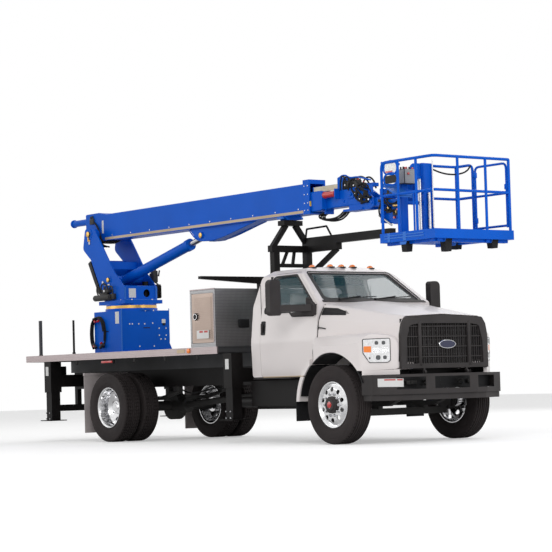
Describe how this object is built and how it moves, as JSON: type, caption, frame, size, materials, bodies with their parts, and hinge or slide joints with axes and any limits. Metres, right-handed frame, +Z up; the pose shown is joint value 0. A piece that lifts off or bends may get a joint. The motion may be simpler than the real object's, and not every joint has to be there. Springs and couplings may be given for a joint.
{
  "type": "cherry picker truck",
  "caption": "Two-axle flatbed truck with a conventional cab, carrying a turntable, telescopic boom, levelling work basket, boom rest, tool box and straight-down outriggers.",
  "frame": {"origin": "on the ground below the middle of the truck's overall length and width, boom stowed", "axes": "+X to the truck's front, +Y to its left, +Z up"},
  "size_m": [9.62, 3, 3.6399],
  "materials": {
    "blue_paint": "gloss",
    "white_paint": "gloss",
    "black_paint": "satin",
    "dark_plastic": "matte",
    "grey_iron": "satin",
    "bare_aluminium": "satin",
    "polished_aluminium": "polished",
    "plain_steel": "satin",
    "plated_pin": "plated",
    "tyre_rubber": "matte",
    "flap_rubber": "matte",
    "pane": "clear",
    "lamp_lens": "clear",
    "trim_fabric": "woven"
  },
  "bodies": {
    "chassis": {"axles": "grey_iron", "chassis_frame": "black_paint", "engine_block": "grey_iron", "side_box_and_tanks": "black_paint", "front_bumper": "dark_plastic", "deck": "black_paint", "deck_edge_rails": "bare_aluminium", "mud_flaps": "flap_rubber", "toolbox": "bare_aluminium", "boom_rest": "black_paint", "pedestal": "blue_paint", "slew_ring": "plated_pin", "pedestal_hoses": "flap_rubber", "outrigger_sleeves": "black_paint", "cab_shell": "white_paint", "cab_glass": "pane", "fender_extensions": "white_paint", "cab_seats": "trim_fabric", "dashboard": "dark_plastic"},
    "hood": {"hood": "white_paint", "headlamps": "lamp_lens", "grille": "dark_plastic"},
    "steer_right": {"steering_knuckle_right": "grey_iron"},
    "steer_left": {"steering_knuckle_left": "grey_iron"},
    "tie_rod": {"tie_rod": "grey_iron"},
    "front_wheel_right": {"front_tyre_right": "tyre_rubber", "front_wheel_right": "polished_aluminium"},
    "front_wheel_left": {"front_tyre_left": "tyre_rubber", "front_wheel_left": "polished_aluminium"},
    "rear_wheels_right": {"rear_tyres_right": "tyre_rubber", "rear_wheels_right": "polished_aluminium"},
    "rear_wheels_left": {"rear_tyres_left": "tyre_rubber", "rear_wheels_left": "polished_aluminium"},
    "door_right": {"door_right": "white_paint", "mirror_right": "dark_plastic", "door_glass_right": "pane"},
    "door_left": {"door_left": "white_paint", "mirror_left": "dark_plastic", "door_glass_left": "pane"},
    "toolbox_door_right": {"toolbox_door_right": "bare_aluminium"},
    "toolbox_door_left": {"toolbox_door_left": "bare_aluminium"},
    "rear_leg_right": {"rear_outrigger_leg_right": "black_paint"},
    "rear_leg_left": {"rear_outrigger_leg_left": "black_paint"},
    "front_leg_right": {"front_outrigger_leg_right": "black_paint"},
    "front_leg_left": {"front_outrigger_leg_left": "black_paint"},
    "turret": {"turret": "blue_paint", "turret_pins": "plated_pin", "slew_drive": "black_paint"},
    "lift_barrel": {"lift_barrel": "blue_paint"},
    "lift_rod": {"lift_rod": "plain_steel"},
    "boom_base": {"boom_base": "blue_paint"},
    "boom_middle": {"boom_middle": "blue_paint"},
    "boom_fly": {"boom_fly": "blue_paint", "boom_hoses": "flap_rubber"},
    "basket_mount": {"basket_mount": "blue_paint"},
    "basket": {"basket_floor": "blue_paint", "basket_rails": "blue_paint", "control_box": "dark_plastic", "basket_feet": "flap_rubber"},
    "basket_gate": {"basket_gate": "blue_paint"}
  },
  "joints": [
    {"name": "steering_right", "type": "hinge", "parent": "chassis", "child": "steer_right", "pos_m": [3.25, -0.86, 0.512], "axis": [0, 0, 1], "range_deg": [-35, 35]},
    {"name": "steering_left", "type": "hinge", "parent": "chassis", "child": "steer_left", "pos_m": [3.25, 0.86, 0.512], "axis": [0, 0, 1], "range_deg": [-35, 35]},
    {"name": "tie_rod_slide", "type": "slide", "parent": "chassis", "child": "tie_rod", "axis": [0, -1, 0], "range_m": [-0.12, 0.12]},
    {"name": "front_wheel_right_spin", "type": "hinge", "parent": "steer_right", "child": "front_wheel_right", "pos_m": [3.25, -1.03, 0.512], "axis": [0, 1, 0], "continuous": true},
    {"name": "front_wheel_left_spin", "type": "hinge", "parent": "steer_left", "child": "front_wheel_left", "pos_m": [3.25, 1.03, 0.512], "axis": [0, 1, 0], "continuous": true},
    {"name": "rear_wheels_right_spin", "type": "hinge", "parent": "chassis", "child": "rear_wheels_right", "pos_m": [-2, -0.928, 0.512], "axis": [0, 1, 0], "continuous": true},
    {"name": "rear_wheels_left_spin", "type": "hinge", "parent": "chassis", "child": "rear_wheels_left", "pos_m": [-2, 0.928, 0.512], "axis": [0, 1, 0], "continuous": true},
    {"name": "door_right_hinge", "type": "hinge", "parent": "chassis", "child": "door_right", "pos_m": [2.86, -1.14, 1.5], "axis": [0, 0, 1], "range_deg": [0, 65]},
    {"name": "door_left_hinge", "type": "hinge", "parent": "chassis", "child": "door_left", "pos_m": [2.86, 1.14, 1.5], "axis": [0, 0, -1], "range_deg": [0, 65]},
    {"name": "hood_tilt", "type": "hinge", "parent": "chassis", "child": "hood", "pos_m": [4.18, 0, 0.9], "axis": [0, 1, 0], "range_deg": [0, 42]},
    {"name": "toolbox_door_right_hinge", "type": "hinge", "parent": "chassis", "child": "toolbox_door_right", "pos_m": [0.735, -1.2, 1.745], "axis": [0, 0, 1], "range_deg": [0, 100]},
    {"name": "toolbox_door_left_hinge", "type": "hinge", "parent": "chassis", "child": "toolbox_door_left", "pos_m": [0.735, 1.2, 1.745], "axis": [0, 0, -1], "range_deg": [0, 100]},
    {"name": "rear_leg_right_slide", "type": "slide", "parent": "chassis", "child": "rear_leg_right", "axis": [0, 0, -1], "range_m": [0, 0.31]},
    {"name": "rear_leg_left_slide", "type": "slide", "parent": "chassis", "child": "rear_leg_left", "axis": [0, 0, -1], "range_m": [0, 0.31]},
    {"name": "front_leg_right_slide", "type": "slide", "parent": "chassis", "child": "front_leg_right", "axis": [0, 0, -1], "range_m": [0, 0.31]},
    {"name": "front_leg_left_slide", "type": "slide", "parent": "chassis", "child": "front_leg_left", "axis": [0, 0, -1], "range_m": [0, 0.31]},
    {"name": "turret_slew", "type": "hinge", "parent": "chassis", "child": "turret", "pos_m": [-3.15, 0, 2.09], "axis": [0, 0, 1], "continuous": true},
    {"name": "boom_luff", "type": "hinge", "parent": "turret", "child": "boom_base", "pos_m": [-3.858, 0, 3.263], "axis": [0, -1, 0], "range_deg": [0, 75]},
    {"name": "lift_barrel_pivot", "type": "hinge", "parent": "turret", "child": "lift_barrel", "pos_m": [-3.299, 0, 2.503], "axis": [0, -1, 0], "range_deg": [0, 70.5]},
    {"name": "lift_rod_slide", "type": "slide", "parent": "lift_barrel", "child": "lift_rod", "axis": [0.9721, 0, 0.2345], "range_m": [0, 1.13]},
    {"name": "boom_extend", "type": "slide", "parent": "boom_base", "child": "boom_middle", "axis": [1, 0, 0], "range_m": [0, 4]},
    {"name": "boom_fly_extend", "type": "slide", "parent": "boom_middle", "child": "boom_fly", "axis": [1, 0, 0], "range_m": [0, 4]},
    {"name": "basket_level", "type": "hinge", "parent": "boom_fly", "child": "basket_mount", "pos_m": [2.9, 0, 3.2], "axis": [0, -1, 0], "range_deg": [-75, 0]},
    {"name": "basket_turn", "type": "hinge", "parent": "basket_mount", "child": "basket", "pos_m": [3.59, 0, 3.28], "axis": [0, 0, 1], "range_deg": [-90, 90]},
    {"name": "basket_gate_hinge", "type": "hinge", "parent": "basket", "child": "basket_gate", "pos_m": [4.148, 0.65, 3.2], "axis": [0, 0, -1], "range_deg": [0, 85]}
  ],
  "couplings": [
    {"joint": "steering_left", "follows": "steering_right", "ratio": 1},
    {"joint": "tie_rod_slide", "follows": "steering_right", "m_per_rad": 0.19},
    {"joint": "lift_barrel_pivot", "follows": "boom_luff", "ratio": 0.935},
    {"joint": "lift_rod_slide", "follows": "boom_luff", "m_per_rad": 0.8587},
    {"joint": "boom_fly_extend", "follows": "boom_extend", "ratio": 1},
    {"joint": "basket_level", "follows": "boom_luff", "ratio": -1}
  ]
}
